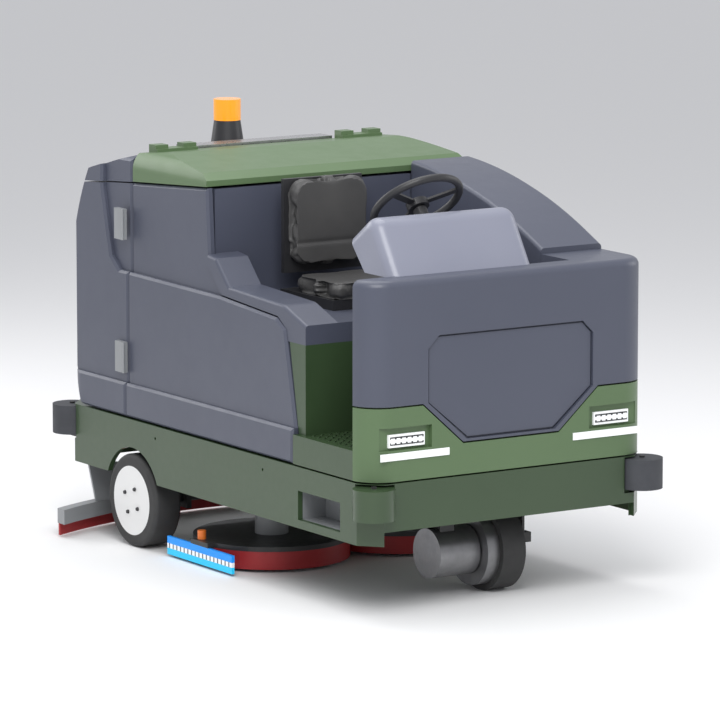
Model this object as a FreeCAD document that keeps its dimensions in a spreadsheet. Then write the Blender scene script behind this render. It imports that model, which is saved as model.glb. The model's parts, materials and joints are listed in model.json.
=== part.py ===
"""Ride-on floor scrubber, built from its real pieces.

Millimetres. +Z is up, the front faces -Y, the driver's left is +X. The origin is on the floor,
under the middle of the machine. Every size is a cell of the sheet Dims, and each sub-part is an
object of the document whose sizes are bound to those cells.
"""
import FreeCAD, Part
import Sketcher
import math
import os
import re

doc = FreeCAD.newDocument("FloorScrubber")
sheet = doc.addObject("Spreadsheet::Sheet", "Dims")

SIZES = {
    "whole machine": {
        "half_width": 600, "front": -1062, "rear": 1062, "seam": 5, "nudge": 1,
        "body_low": 486, "body_top": 1470,
    },
    "chassis": {
        "skirt_low": 260, "skirt_high": 480, "skirt_wall": 20, "corner_in": 67, "corner_back": 74,
        "front_low": 310, "arch_radius": 200, "pocket_front": -881, "pocket_back": -603,
        "pocket_low": 290, "pocket_high": 395, "pocket_depth": 120, "pocket_wall": 4,
        "screw_radius": 5.5, "screw_back": 390, "screw_front": -365, "screw_height": 434,
        "hitch_radius": 6.5, "hitch_across": 120, "hitch_up": 60, "hitch_height": 390,
        "rail_inner": 360, "rail_outer": 400, "rail_low": 400, "rail_end": 960,
        "strip_drop": 18, "strip_wall": 12,
    },
    "rollers": {
        "roller_x": 572, "roller_y": 1055, "roller_radius": 75, "roller_low": 360,
        "roller_high": 470, "roller_gap": 7, "pin_radius": 10, "pin_run": 0.05, "tongue": 6,
        "tongue_back": 90,
    },
    "rear wheels": {
        "wheel_y": 560, "wheel_radius": 175, "wheel_outer": 603, "wheel_width": 115,
        "rim_radius": 130, "shoulder": 18, "hub_cap": 12, "axle_radius": 25, "stub_radius": 20,
        "stub_run": 0.05, "axle_end": 480, "hanger_plate": 20, "hanger_reach": 45,
    },
    "drive unit": {
        "kingpin_y": -795, "kingpin_radius": 30, "drive_radius": 155, "motor_radius": 90,
        "motor_end": -179, "motor_face": -10, "flange_in": -5, "flange_out": 45,
        "flange_radius": 132, "tyre_out": 142, "drive_rim": 108, "cap_out": 188,
        "cap_radius": 62, "shaft_radius": 22, "yoke_low": 402, "yoke_high": 432, "arm_in": 204,
        "arm_out": 214, "arm_half": 40, "plug_out": 258, "plug_half": 18, "plug_low": 155,
        "plug_high": 191, "yoke_side": 150, "motor_arm": 60, "bearing_low": 440,
    },
    "body sides": {
        "side_middle": 585, "side_upper": 565, "side_inner": 540, "band_high": 612,
        "bevel": 9, "door_rear": 606, "door_front": -559, "door_lean": -564,
        "door_shoulder": -490, "shoulder_high": 956, "crease_front": -430, "crease_low": 990,
        "crease_mid": -43, "crease_high": 1018, "sweep_y": 53, "sweep_high": 1114,
        "door_top_y": 73, "door_top_front": 1396, "door_top_rear": 1358,
        "crease_rear_y": 638, "crease_rear": 1027, "door_pin_x": 604, "door_pin_y": 612,
        "door_pin": 5, "hinge_leaf": 62, "hinge_low": 649, "hinge_up": 1148, "hinge_tall": 115,
    },
    "rear": {
        "arc_y": 100, "arc_height": 900, "arc_radius": 932, "rear_corner": 92,
        "turn_low_y": 736, "turn_low": 1075, "turn_mid_y": 765, "turn_mid": 1185,
        "turn_high_y": 799, "turn_high": 1327, "cap_seam_front": 1358, "cap_seam_rear": 1330,
        "cap_slope_y": 870, "cap_slope": 1394, "cap_front_top": 1462, "cap_start": 612,
        "shoulder_round": 80,
    },
    "roof lid": {
        "lid_front": 73, "lid_rear": 600, "lid_low_front": 1403, "lid_low_rear": 1365,
        "lid_front_top": 1448, "lid_peak_y": 420, "lid_peak": 1486, "lid_rear_top": 1470,
        "lid_wall": 22, "lid_round": 75, "lid_lip": 12, "hinge_y": 606, "hinge_height": 1482,
        "knuckle_x": 407, "knuckle_half": 88, "knuckle_front": 540, "knuckle_top": 1500,
        "horn_width": 55, "saddle": 1486, "insert_half": 318, "insert_front": 616,
        "insert_back": 700, "insert_low": 1440, "insert_high": 1478,
    },
    "beacon": {
        "beacon_y": 856, "beacon_base": 1380, "beacon_seat": 1535, "beacon_foot": 73,
        "beacon_neck": 50, "lens_radius": 52, "lens_top": 1615,
    },
    "front": {
        "cowl_side_back": -961, "cowl_top": 1192, "cowl_round": 28, "front_corner": 112,
        "cover_wall": 30, "cover_high": 745, "vee_top_x": 372, "vee_low_x": 203,
        "vee_low": 596, "inset_x": 350, "inset_top": 988, "inset_cut": 45, "inset_low": 752,
        "inset_foot_x": 188, "inset_foot": 611, "inset_depth": 16, "inset_gap": 7,
        "lamp_in": 360, "lamp_out": 510, "lamp_low": 606, "lamp_high": 652, "pod_in": 335,
        "pod_out": 545, "pod_low": 596, "pod_high": 676, "pod_depth": 18, "lamp_depth": 8,
        "strip_in": 264, "strip_out": 550, "strip_low": 562, "strip_high": 588, "strip_out_y": 4,
    },
    "fairing": {
        "fairing_in": 315, "fairing_rear": 64, "fair_top_rear": 1440, "fair_mid_y": -131,
        "fair_mid": 1426, "fair_low_y": -523, "fair_low": 1328, "fair_end_y": -784,
        "fair_end": 1212, "fair_bend": 2150, "fair_edge": 14,
    },
    "driver's place": {
        "floor_high": 591, "floor_wall": 25, "seatbox_front": -619, "seatbox_low": 600,
        "seatbox_mid": 915, "seatbox_top": 985, "seatbox_back": 62, "panel_wall": 18,
        "rim_out": 577, "rim_in": 440, "rim_low_y": -468, "rim_low": 1040, "rim_mid_y": -98,
        "rim_mid": 1058, "rim_high_y": -7, "rim_high": 1151, "rim_round": 42,
        "liner_front": 66, "liner_back": 106, "liner_top": 1392, "battery_x": 300,
        "battery_front": -560, "battery_back": 40, "battery_low": 490, "battery_top": 880,
        "seat_x": -144, "seat_half": 188, "base_half": 165, "base_front": -380,
        "base_back": -20, "cushion_low": 1022, "cushion_top": 1082, "cushion_front": -420,
        "cushion_back": -70, "back_low": 1073, "back_top": 1456, "back_front": -112,
        "back_depth": 62, "back_lean": 10, "shell_wall": 9,
    },
    "controls": {
        "wheel_ring": 162, "wheel_tube": 14, "steer_y": -672, "steer_height": 1396,
        "steer_tilt": 40, "column_radius": 26, "column_length": 190, "steer_hub": 40,
        "hood_left": 156, "hood_right": -444, "hood_foot_y": -980, "hood_low": 1186,
        "hood_peak_y": -841, "hood_peak": 1405, "hood_brow_y": -693, "hood_brow": 1302,
        "hood_heel_y": -797, "hood_wall": 16, "hood_crown": 60, "hood_side": 44, "dial_wall": 12, "leg_half": 70,
        "leg_front": -900, "leg_back": -838, "pedal_x": -270, "pedal_half": 45,
        "pedal_front": -905, "pedal_back": -790, "pedal_rise": 60, "pedal_wall": 12,
    },
    "recovery tank": {
        "tank_half": 528, "tank_front": 118, "tank_back": 598, "tank_low": 620,
        "tank_top": 1345, "tank_wall": 12,
    },
    "scrub deck": {
        "brush_x": 275, "brush_y": 100, "brush_radius": 255, "brush_low": 8, "brush_high": 62,
        "spindle_radius": 20, "deck_low": 78, "deck_high": 96, "deck_radius": 290,
        "skirt_ring": 10, "ring_low": 12, "motor_low": 96, "motor_high": 232, "deck_motor": 62,
        "guard_out": 587, "guard_front": -129, "guard_back": 328,
        "guard_low": 10, "guard_high": 87, "guard_plate": 12, "post_x": 130, "post_y": 250,
        "post_radius": 15, "post_top": 392, "sleeve": 25, "sleeve_low": 330, "post_run": 0.05,
        "knob_radius": 16, "knob_high": 128,
    },
    "squeegee": {
        "sweep_radius": 1631, "sweep_rear": 1060, "sweep_half": 737, "channel_depth": 46,
        "channel_low": 52, "channel_high": 108, "blade_wall": 10, "blade_low": 7,
        "pivot_y": 800, "pivot_height": 246, "pivot_radius": 14, "arm_x": 250, "arm_wall": 16,
        "arm_drop": 120, "arm_foot": 990, "plate_in": 444, "plate_out": 572, "plate_y": 1000,
        "plate_low": 120, "plate_high": 250, "plate_wall": 10, "squeegee_knob": 18,
        "squeegee_knob_top": 150, "squeegee_knob_x": 330,
    },
}

row = 1
for group, cells in SIZES.items():
    sheet.set(f"A{row}", group)
    for alias, size in cells.items():
        row += 1
        sheet.set(f"A{row}", alias)
        sheet.set(f"B{row}", str(size))
        sheet.setAlias(f"B{row}", alias)
    row += 1
doc.recompute()

NODES = {}


def val(alias):
    """The number in one cell, for choosing edges."""
    return float(sheet.get(alias))


def bind(words):
    """Turn 'door_rear - seam' into 'Dims.door_rear - Dims.seam'."""
    return re.sub(r"\b[a-z][a-z0-9_]*\b(?!\()", lambda found: "Dims." + found.group(), str(words))


def prism(name, plane, corners, low, high):
    """A padded outline: corners are pairs of expressions on the plane, low to high along its normal."""
    body = doc.addObject("PartDesign::Body", name)
    outline = body.newObject("Sketcher::SketchObject", name + "_outline")
    origin = [item for item in body.Origin.OriginFeatures if item.Role == plane + "_Plane"][0]
    outline.AttachmentSupport = (origin, [""])
    outline.MapMode = "FlatFace"
    count = len(corners)
    ring = [FreeCAD.Vector(math.cos(math.tau * k / count), math.sin(math.tau * k / count), 0) * 100
            for k in range(count)]
    for k in range(count):
        outline.addGeometry(Part.LineSegment(ring[k], ring[(k + 1) % count]))
    for k in range(count):
        outline.addConstraint(Sketcher.Constraint("Coincident", k, 2, (k + 1) % count, 1))
    for k, pair in enumerate(corners):
        for kind, place in zip(("DistanceX", "DistanceY"), pair):
            index = outline.addConstraint(Sketcher.Constraint(kind, -1, 1, k, 1, 50.0))
            outline.setExpression(f"Constraints[{index}]", bind(place))
    start = f"-({high})" if plane == "XZ" else low
    outline.setExpression("AttachmentOffset.Base.z", bind(start))
    pad = body.newObject("PartDesign::Pad", name + "_pad")
    pad.Profile = outline
    pad.setExpression("Length", bind(f"({high}) - ({low})"))
    doc.recompute()
    return body


def soften(body, choose, radius, kind="Fillet"):
    """Round or chamfer the edges of a body that choose() picks."""
    edges = [f"Edge{k + 1}" for k, edge in enumerate(body.Shape.Edges) if choose(edge)]
    last = body.Tip
    feature = body.newObject("PartDesign::" + kind, f"{body.Name}_{kind}")
    feature.Base = (last, edges)
    feature.setExpression("Radius" if kind == "Fillet" else "Size", bind(radius))
    doc.recompute()
    return body


def along(axis, **places):
    """Picks straight edges along an axis whose middle lies at the given places."""
    def choose(edge):
        box = edge.BoundBox
        spans = {"x": box.XLength, "y": box.YLength, "z": box.ZLength}
        middle = {"x": box.Center.x, "y": box.Center.y, "z": box.Center.z}
        straight = all(spans[other] < 0.01 for other in spans if other != axis)
        return straight and all(abs(abs(middle[key]) - abs(place)) < 1.5 for key, place in places.items())
    return choose


def on_face(**places):
    """Picks edges that lie in the plane given, such as x=-600."""
    def choose(edge):
        box = edge.BoundBox
        flat = {"x": (box.XMin, box.XMax), "y": (box.YMin, box.YMax), "z": (box.ZMin, box.ZMax)}
        return all(abs(end - place) < 0.01 for key, place in places.items() for end in flat[key])
    return choose


def box(name, x_low, x_high, y_low, y_high, z_low, z_high):
    """A block between six expressions."""
    block = doc.addObject("Part::Box", name)
    for size, place, low, high in (("Length", "x", x_low, x_high), ("Width", "y", y_low, y_high),
                                   ("Height", "z", z_low, z_high)):
        block.setExpression(size, bind(f"({high}) - ({low})"))
        block.setExpression("Placement.Base." + place, bind(low))
    return block


def rod(name, axis, centre, radius, low, high):
    """A round bar along an axis: centre holds the two expressions across it, in X, Y, Z order."""
    bar = doc.addObject("Part::Cylinder", name)
    bar.setExpression("Radius", bind(radius))
    bar.setExpression("Height", bind(f"({high}) - ({low})"))
    turns = {"x": FreeCAD.Rotation(FreeCAD.Vector(0, 1, 0), 90), "z": FreeCAD.Rotation(),
             "y": FreeCAD.Rotation(FreeCAD.Vector(1, 0, 0), -90)}
    bar.Placement = FreeCAD.Placement(FreeCAD.Vector(), turns[axis])
    others = [key for key in "xyz" if key != axis]
    for key, place in list(zip(others, centre)) + [(axis, low)]:
        bar.setExpression("Placement.Base." + key, bind(place))
    return bar


def cut(name, base, *tools):
    """Base with each tool taken out."""
    for k, tool in enumerate(tools):
        less = doc.addObject("Part::Cut", f"{name}_less_{k}")
        less.Base, less.Tool = base, tool
        base = less
    return base


def fuse(name, *pieces):
    whole = doc.addObject("Part::MultiFuse", name + "_whole")
    whole.Shapes = list(pieces)
    return whole


def common(name, first, second):
    shared = doc.addObject("Part::Common", name + "_shared")
    shared.Base, shared.Tool = first, second
    return shared


def mirror(name, source):
    """The same piece on the other side of the machine's middle."""
    other = doc.addObject("Part::Mirroring", name + "_mirror")
    other.Source = source
    other.Normal = (1, 0, 0)
    return other


def group(name, *pieces):
    """Solids that don't touch, kept as one node."""
    several = doc.addObject("Part::Compound", name + "_group")
    several.Links = list(pieces)
    return several


def keep(node, piece):
    piece.Label = node
    NODES[node] = piece
    return piece


def turned(name, ring, inner, low, high, radius, centre):
    """A wheel part about an axis along X: a round bar with a round hole."""
    solid = rod(name + "_disc", "x", centre, radius, low, high)
    hole = rod(name + "_hole", "x", centre, inner, f"{low} - nudge", f"{high} + nudge")
    return cut(name + ring, solid, hole)


def chassis():
    """The green skirt: a tray with its deck on top, wheel arches, roller pockets and step pocket."""
    def plan(grow):
        x_edge, x_cut = f"half_width - {grow}", f"half_width - corner_in - {grow} * 0.5"
        rows = [("-(" + x_edge + ")", f"front + corner_back + {grow} * 0.5"),
                ("-(" + x_cut + ")", f"front + {grow}"), (x_cut, f"front + {grow}"),
                (x_edge, f"front + corner_back + {grow} * 0.5"),
                (x_edge, f"rear - corner_back - {grow} * 0.5"), (x_cut, f"rear - {grow}"),
                ("-(" + x_cut + ")", f"rear - {grow}"),
                ("-(" + x_edge + ")", f"rear - corner_back - {grow} * 0.5")]
        return rows
    outer = prism("skirt_outer", "XY", plan("0"), "skirt_low", "skirt_high")
    inner = prism("skirt_inner", "XY", plan("skirt_wall"), "skirt_low - nudge",
                  "skirt_high - skirt_wall")
    wide, past = "-half_width - nudge", "half_width + nudge"
    tools = [inner, rod("arches", "x", ("wheel_y", "wheel_radius"), "arch_radius", wide, past),
             box("front_gap", "corner_in - half_width", "half_width - corner_in", "front - nudge",
                 "front + skirt_wall + nudge", "skirt_low - nudge", "front_low"),
             box("pocket_mouth", wide, "skirt_wall - half_width + nudge", "pocket_front",
                 "pocket_back", "pocket_low", "pocket_high")]
    for side in ("-", ""):
        for end in ("-", ""):
            tools.append(rod("roller_room", "z", (side + "roller_x", end + "roller_y"),
                             "roller_radius + roller_gap", "roller_low - roller_gap - tongue",
                             "roller_high + roller_gap"))
    for place in ("screw_back", "screw_front"):
        tools.append(rod("skirt_screw", "x", (place, "screw_height"), "screw_radius", wide, past))
    for across in ("-hitch_across / 2", "hitch_across / 2"):
        for up in ("hitch_height - hitch_up / 2", "hitch_height + hitch_up / 2"):
            tools.append(rod("hitch_hole", "y", (across, up), "hitch_radius",
                             "rear - skirt_wall - nudge", "rear + nudge"))
    keep("chassis", cut("chassis", outer, *tools))
    shell = box("pocket_shell", "-half_width + skirt_wall", "pocket_depth - half_width",
                "pocket_front - pocket_wall", "pocket_back + pocket_wall",
                "pocket_low - pocket_wall", "pocket_high + pocket_wall")
    hollow = box("pocket_hollow", wide, "pocket_depth - half_width - pocket_wall", "pocket_front",
                 "pocket_back", "pocket_low", "pocket_high")
    keep("step_pocket", cut("pocket", shell, hollow))


def frame():
    """Rails under the deck, the steering bearing plate, axle hangers and deck lift sleeves."""
    rails = [box("rail", f"{side}rail_{near}", f"{side}rail_{far}", "-rail_end", "rail_end",
                 "rail_low", "skirt_high - skirt_wall")
             for side, near, far in (("-", "outer", "inner"), ("", "inner", "outer"))]
    plates = [box("bearing_plate", "-rail_inner", "rail_inner", "kingpin_y - 90", "kingpin_y + 90",
                  "bearing_low", "skirt_high - skirt_wall"),
              box("sleeve_bar", "-rail_inner", "rail_inner", "post_y - 30", "post_y + 30",
                  "rail_low", "skirt_high - skirt_wall")]
    hangers = [box("axle_hanger", f"{side} - hanger_plate / 2", f"{side} + hanger_plate / 2",
                   "wheel_y - hanger_reach", "wheel_y + hanger_reach",
                   "wheel_radius - hanger_reach", "rail_low")
               for side in ("-rail_inner - 20", "rail_inner + 20")]
    sleeves = [rod("sleeve_tube", "z", (side, "post_y"), "sleeve", "sleeve_low", "rail_low")
               for side in ("-post_x", "post_x")]
    holes = [rod("kingpin_hole", "z", ("0", "kingpin_y"), "kingpin_radius + post_run",
                 "bearing_low - nudge", "skirt_high"),
             rod("axle_hole", "x", ("wheel_y", "wheel_radius"), "axle_radius", "-half_width",
                 "half_width")]
    holes += [rod("post_hole", "z", (side, "post_y"), "post_radius + post_run",
                  "sleeve_low - nudge", "skirt_high") for side in ("-post_x", "post_x")]
    keep("chassis_rails", cut("rails", fuse("rails", *rails, *plates, *hangers, *sleeves), *holes))
    brackets = []
    for side in ("-", ""):
        for end in ("-", ""):
            near, far = sorted((f"{end}roller_y", f"{end}(roller_y - tongue_back)"),
                               key=lambda word: ("tongue" in word) == (end == "-"))
            low = box("tongue", f"{side}roller_x - 22", f"{side}roller_x + 22", near, far,
                      "roller_low - 2 - tongue", "roller_low - 2")
            pin = rod("roller_pin", "z", (side + "roller_x", end + "roller_y"), "pin_radius",
                      "roller_low - 2 - tongue", "roller_high + roller_gap")
            brackets.append(fuse("bracket", low, pin))
    walls = NODES["chassis"]
    keep("roller_brackets", cut("brackets", group("brackets", *brackets), walls))


def rollers():
    """Four corner rollers on upright pins."""
    for name, side, end in (("front_right", "-", "-"), ("front_left", "", "-"),
                            ("rear_right", "-", ""), ("rear_left", "", "")):
        centre = (side + "roller_x", end + "roller_y")
        drum = rod("drum", "z", centre, "roller_radius", "roller_low", "roller_high")
        hole = rod("drum_hole", "z", centre, "pin_radius + pin_run", "roller_low - nudge",
                   "roller_high + nudge")
        keep("roller_" + name, cut("roller_" + name, drum, hole))


def rear_wheels():
    """A through axle with two stubs, and a tyre and a capped hub each side."""
    centre = ("wheel_y", "wheel_radius")
    bar = rod("axle_bar", "x", centre, "axle_radius", "-axle_end", "axle_end")
    stub_end = "wheel_outer - hub_cap - 2"
    stub = rod("axle_stub", "x", centre, "stub_radius", f"-({stub_end})", stub_end)
    keep("rear_axle", fuse("axle", bar, stub))
    inner = "wheel_outer - wheel_width"
    tyre = turned("rear_tyre", "_ring", "rim_radius", inner, "wheel_outer", "wheel_radius", centre)
    hub = cut("rear_hub", rod("hub_disc", "x", centre, "rim_radius", inner, "wheel_outer"),
              rod("hub_bore", "x", centre, "stub_radius + stub_run", f"{inner} - nudge",
                  "wheel_outer - hub_cap"))
    doc.recompute()
    rounded = doc.addObject("Part::Fillet", "tyre_rounded")
    rounded.Base = tyre
    rounded.Edges = [(k + 1, val("shoulder"), val("shoulder")) for k, edge in
                     enumerate(tyre.Shape.Edges)
                     if abs(edge.BoundBox.ZLength - 2 * val("wheel_radius")) < 0.5]
    keep("rear_tyre_left", rounded)
    keep("rear_hub_left", hub)
    keep("rear_tyre_right", mirror("tyre", rounded))
    keep("rear_hub_right", mirror("hub", hub))


def drive_unit():
    """The steered front unit: kingpin, yoke and motor, with the driven wheel on the motor's shaft."""
    centre = ("kingpin_y", "drive_radius")
    top = box("yoke_top", "-yoke_side", "arm_out", "kingpin_y - 60", "kingpin_y + 60", "yoke_low",
              "yoke_high")
    pin = rod("kingpin", "z", ("0", "kingpin_y"), "kingpin_radius", "yoke_low",
              "skirt_high - skirt_wall - 2")
    near_arm = box("motor_arm", "-yoke_side", "-yoke_side + motor_arm", "kingpin_y - arm_half",
                   "kingpin_y + arm_half", "drive_radius", "yoke_high")
    far_arm = box("wheel_arm", "arm_in", "arm_out", "kingpin_y - arm_half",
                  "kingpin_y + arm_half", "plug_low - 20", "yoke_high")
    plug = box("plug", "arm_out", "plug_out", "kingpin_y - plug_half", "kingpin_y + plug_half",
               "plug_low", "plug_high")
    motor = rod("motor_can", "x", centre, "motor_radius", "motor_end", "motor_face")
    yoke = fuse("yoke", top, pin, near_arm, far_arm, plug)
    keep("drive_yoke", cut("yoke", yoke, motor))
    keep("drive_motor", motor)
    flange = rod("flange", "x", centre, "flange_radius", "flange_in", "flange_out")
    rim = rod("drive_rim", "x", centre, "drive_rim", "flange_in", "tyre_out")
    cap = rod("hub_cap", "x", centre, "cap_radius", "flange_in", "cap_out")
    keep("drive_rim", fuse("rim", flange, rim, cap))
    keep("drive_tyre", turned("drive_tyre", "_ring", "drive_rim", "flange_out", "tyre_out",
                              "drive_radius", centre))


def door_outline(grow, front=""):
    """The side door seen from the side, with every edge moved out by grow."""
    return [("door_rear + " + grow, "body_low - " + grow), ("door_front - " + grow,
            "body_low - " + grow), ("door_lean - " + grow, "band_high"),
            ("door_shoulder - " + grow, "shoulder_high"), ("crease_front - " + grow,
            "crease_low + " + grow), ("crease_mid - " + grow, "crease_high + " + grow),
            ("sweep_y - " + grow, "sweep_high + " + grow),
            ("door_top_y - " + grow, "door_top_front + " + grow),
            ("door_rear + " + grow, "door_top_rear + " + grow)]


def side_door():
    """A side panel in three steps: upper, below the crease, and the lower band."""
    upper = prism("door_upper", "YZ", door_outline("0"), "-side_upper", "-side_inner")
    middle_outline = door_outline("0")[:6] + [("door_rear", "crease_rear")]
    middle = prism("door_middle", "YZ", middle_outline, "-side_middle", "-side_inner")
    band = prism("door_band", "YZ", [("door_rear", "body_low"), ("door_front", "body_low"),
                 ("door_lean", "band_high"), ("door_rear", "band_high")], "-half_width",
                 "-side_inner")
    for body, face in ((upper, "side_upper"), (middle, "side_middle"), (band, "half_width")):
        soften(body, on_face(x=-val(face)), "bevel", "Chamfer")
    right = keep("side_door_right", fuse("door", upper, middle, band))
    keep("side_door_left", mirror("door", right))
    leaves = []
    for low, high in (("hinge_low", "hinge_low + hinge_tall"), ("hinge_up", "hinge_up + hinge_tall")):
        pin = rod("door_pin", "z", ("-door_pin_x", "door_pin_y"), "door_pin", low, high)
        leaf = box("door_leaf", "-door_pin_x", "-side_middle", "door_pin_y + 1",
                   "door_pin_y + hinge_leaf", low, high)
        leaves.append(fuse("door_hinge", pin, leaf))
    right_side = group("hinges_right", *leaves)
    keep("door_hinges", group("hinges", right_side, mirror("hinges", right_side)))


def rear_cover():
    """The rounded rear moulding: stepped sides, an arched back and round rear corners."""
    front, top = "door_rear + seam + nudge", "body_top"
    upper = prism("rear_upper", "YZ", [(front, "body_low"), ("rear", "body_low"), ("rear", top),
                  ("cap_start + 2 * seam", top), (front, "cap_front_top")], "-side_upper",
                  "side_upper")
    crease = [(front, "body_low"), ("rear", "body_low"), ("rear", top), ("turn_high_y", top),
              ("turn_high_y", "turn_high"), ("turn_mid_y", "turn_mid"), ("turn_low_y", "turn_low"),
              ("crease_rear_y + 40", "crease_rear"), (front, "crease_rear")]
    middle = prism("rear_middle", "YZ", crease, "-side_middle", "side_middle")
    band = prism("rear_band", "YZ", [(front, "body_low"), ("rear", "body_low"),
                 ("rear", "band_high"), (front, "band_high")], "-half_width", "half_width")
    for body, face in ((upper, "side_upper"), (middle, "side_middle"), (band, "half_width")):
        soften(body, lambda edge, x=val(face): on_face(x=x)(edge) or on_face(x=-x)(edge), "bevel",
               "Chamfer")
    form = fuse("rear_form", upper, middle, band)
    arch = rod("rear_arch", "x", ("arc_y", "arc_height"), "arc_radius", "-half_width - nudge",
               "half_width + nudge")
    plan = prism("rear_plan", "XY", [("-half_width", "door_rear"), ("half_width", "door_rear"),
                 ("half_width", "arc_y + arc_radius"), ("-half_width", "arc_y + arc_radius")],
                 "skirt_high", "body_top + seam")
    soften(plan, along("z", x=val("half_width"), y=val("arc_y") + val("arc_radius")),
           "rear_corner")
    crown = prism("rear_crown", "XZ", [("-half_width", "skirt_high"), ("half_width", "skirt_high"),
                  ("half_width", "body_top"), ("-half_width", "body_top")], "door_rear", "rear")
    soften(crown, along("y", x=val("half_width"), z=val("body_top")), "shoulder_round + 35")
    slope = prism("rear_slope", "YZ", [("door_rear", "skirt_high"), ("rear", "skirt_high"),
                  ("rear", "cap_slope - 60"), ("cap_slope_y", "cap_slope"),
                  ("cap_start", "cap_front_top"), ("door_rear", "cap_front_top")], "-half_width",
                  "half_width")
    whole = common("rear_a", common("rear_b", common("rear_c", common("rear_d", form, arch), plan),
                                    crown), slope)
    above = prism("above_seam", "YZ", [("door_rear", "cap_seam_front + seam"),
                  ("rear", "cap_seam_rear - seam"), ("rear", "body_top + 9"),
                  ("door_rear", "body_top + 9")], "-half_width - nudge", "half_width + nudge")
    below = prism("below_seam", "YZ", [("door_rear", "skirt_high"), ("rear", "skirt_high"),
                  ("rear", "cap_seam_rear - 2 * seam"), ("door_rear", "cap_seam_front")],
                  "-half_width - nudge", "half_width + nudge")
    keep("rear_cover", common("rear_cover", whole, below))
    keep("rear_cap", common("rear_cap", whole, above))


def roof_lid():
    """The green lid over the tank: a crowned shell with side skirts, open beneath."""
    def section(grow):
        return [("lid_front + " + grow, "lid_low_front - nudge"),
                ("lid_front + " + grow, "lid_low_front + 20"),
                ("lid_front + 40 + " + grow, f"lid_front_top - {grow}"),
                ("lid_peak_y", f"lid_peak - {grow}"), ("lid_rear", f"lid_rear_top - {grow}"),
                ("lid_rear", "lid_low_rear")]
    def form(name, wall, grow):
        long = prism(name + "_long", "YZ", section(grow), f"-side_upper + {wall}",
                     f"side_upper - {wall}")
        across = prism(name + "_across", "XZ", [(f"-side_upper + {wall}", "body_low"),
                       (f"side_upper - {wall}", "body_low"),
                       (f"side_upper - {wall}", f"lid_peak - {grow}"),
                       (f"-side_upper + {wall}", f"lid_peak - {grow}")], "lid_front", "lid_rear")
        soften(across, along("y", x=val("side_upper") - (val("lid_wall") if wall != "0" else 0),
                             z=val("lid_peak") - (val("lid_wall") if wall != "0" else 0)),
               f"lid_round - {grow}")
        return common(name, long, across)
    outer, inner = form("lid_outer", "0", "0"), form("lid_inner", "lid_wall", "lid_wall")
    past = box("lid_past", "-side_upper + lid_wall", "side_upper - lid_wall", "lid_front + lid_wall",
               "lid_rear + nudge", "lid_low_rear - 50", "lid_low_front + 2")
    shell = cut("lid_shell", outer, inner, past)
    knuckles = []
    for side in ("-knuckle_x", "knuckle_x"):
        knuckles.append(box("knuckle", f"{side} - knuckle_half", f"{side} + knuckle_half",
                            "knuckle_front", "lid_rear", "lid_rear_top - lid_wall", "saddle"))
        for end in (f"{side} - knuckle_half", f"{side} + knuckle_half - horn_width"):
            knuckles.append(box("horn", end, f"{end} + horn_width", "knuckle_front + 12",
                                "lid_rear", "saddle - 10", "knuckle_top"))
    keep("roof_lid", fuse("lid", shell, *knuckles))
    keep("hinge_insert", box("insert", "-insert_half", "insert_half", "insert_front",
                             "insert_back", "insert_low", "insert_high"))
    walls = NODES["rear_cap"]
    keep("rear_cap", cut("cap_cleared", walls, NODES["hinge_insert"],
                         box("lid_room", "-half_width", "half_width", "door_rear - seam",
                             "hinge_y + seam", "body_low", "body_top + 9")))


def beacon():
    """An amber lamp on a dark cone."""
    foot = doc.addObject("Part::Cone", "beacon_cone")
    for size, words in (("Radius1", "beacon_foot"), ("Radius2", "beacon_neck"),
                        ("Height", "beacon_seat - beacon_base")):
        foot.setExpression(size, bind(words))
    foot.setExpression("Placement.Base.y", bind("beacon_y"))
    foot.setExpression("Placement.Base.z", bind("beacon_base"))
    keep("beacon_base", cut("beacon_base", foot, NODES["rear_cap"]))
    keep("beacon_lens", rod("lens", "z", ("0", "beacon_y"), "lens_radius", "beacon_seat",
                            "lens_top"))


def front_plan(name, grow, low, high):
    """The front's plan, with round corners, between two heights."""
    body = prism(name, "XY", [(f"-half_width + {grow}", f"front + {grow}"),
                 (f"half_width - {grow}", f"front + {grow}"),
                 (f"half_width - {grow}", "fair_end_y"), (f"-half_width + {grow}", "fair_end_y")],
                 low, high)
    far = val("cover_wall") if grow != "0" else 0
    return soften(body, along("z", x=val("half_width") - far, y=val("front") + far),
                  f"front_corner - {grow}")


def vee(name, drop):
    """The region under the V line, lowered by drop, seen from the front."""
    return prism(name, "XZ", [("-half_width - 9", "body_low - 9"), ("half_width + 9",
                 "body_low - 9"), ("half_width + 9", f"cover_high - {drop}"),
                 ("vee_top_x", f"cover_high - {drop}"), ("vee_low_x", f"vee_low - {drop}"),
                 ("-vee_low_x", f"vee_low - {drop}"), ("-vee_top_x", f"cover_high - {drop}"),
                 ("-half_width - 9", f"cover_high - {drop}")], "front - 9", "fair_end_y + 9")


def inset_outline(grow):
    """The front panel's outline, grown by grow."""
    side = [(f"inset_foot_x + {grow}", f"inset_foot - {grow}"),
            (f"inset_x + {grow}", "inset_low"), (f"inset_x + {grow}", f"inset_top - inset_cut"),
            (f"inset_x - inset_cut", f"inset_top + {grow}")]
    return side + [("-(" + across + ")", up) for across, up in reversed(side)]


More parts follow.
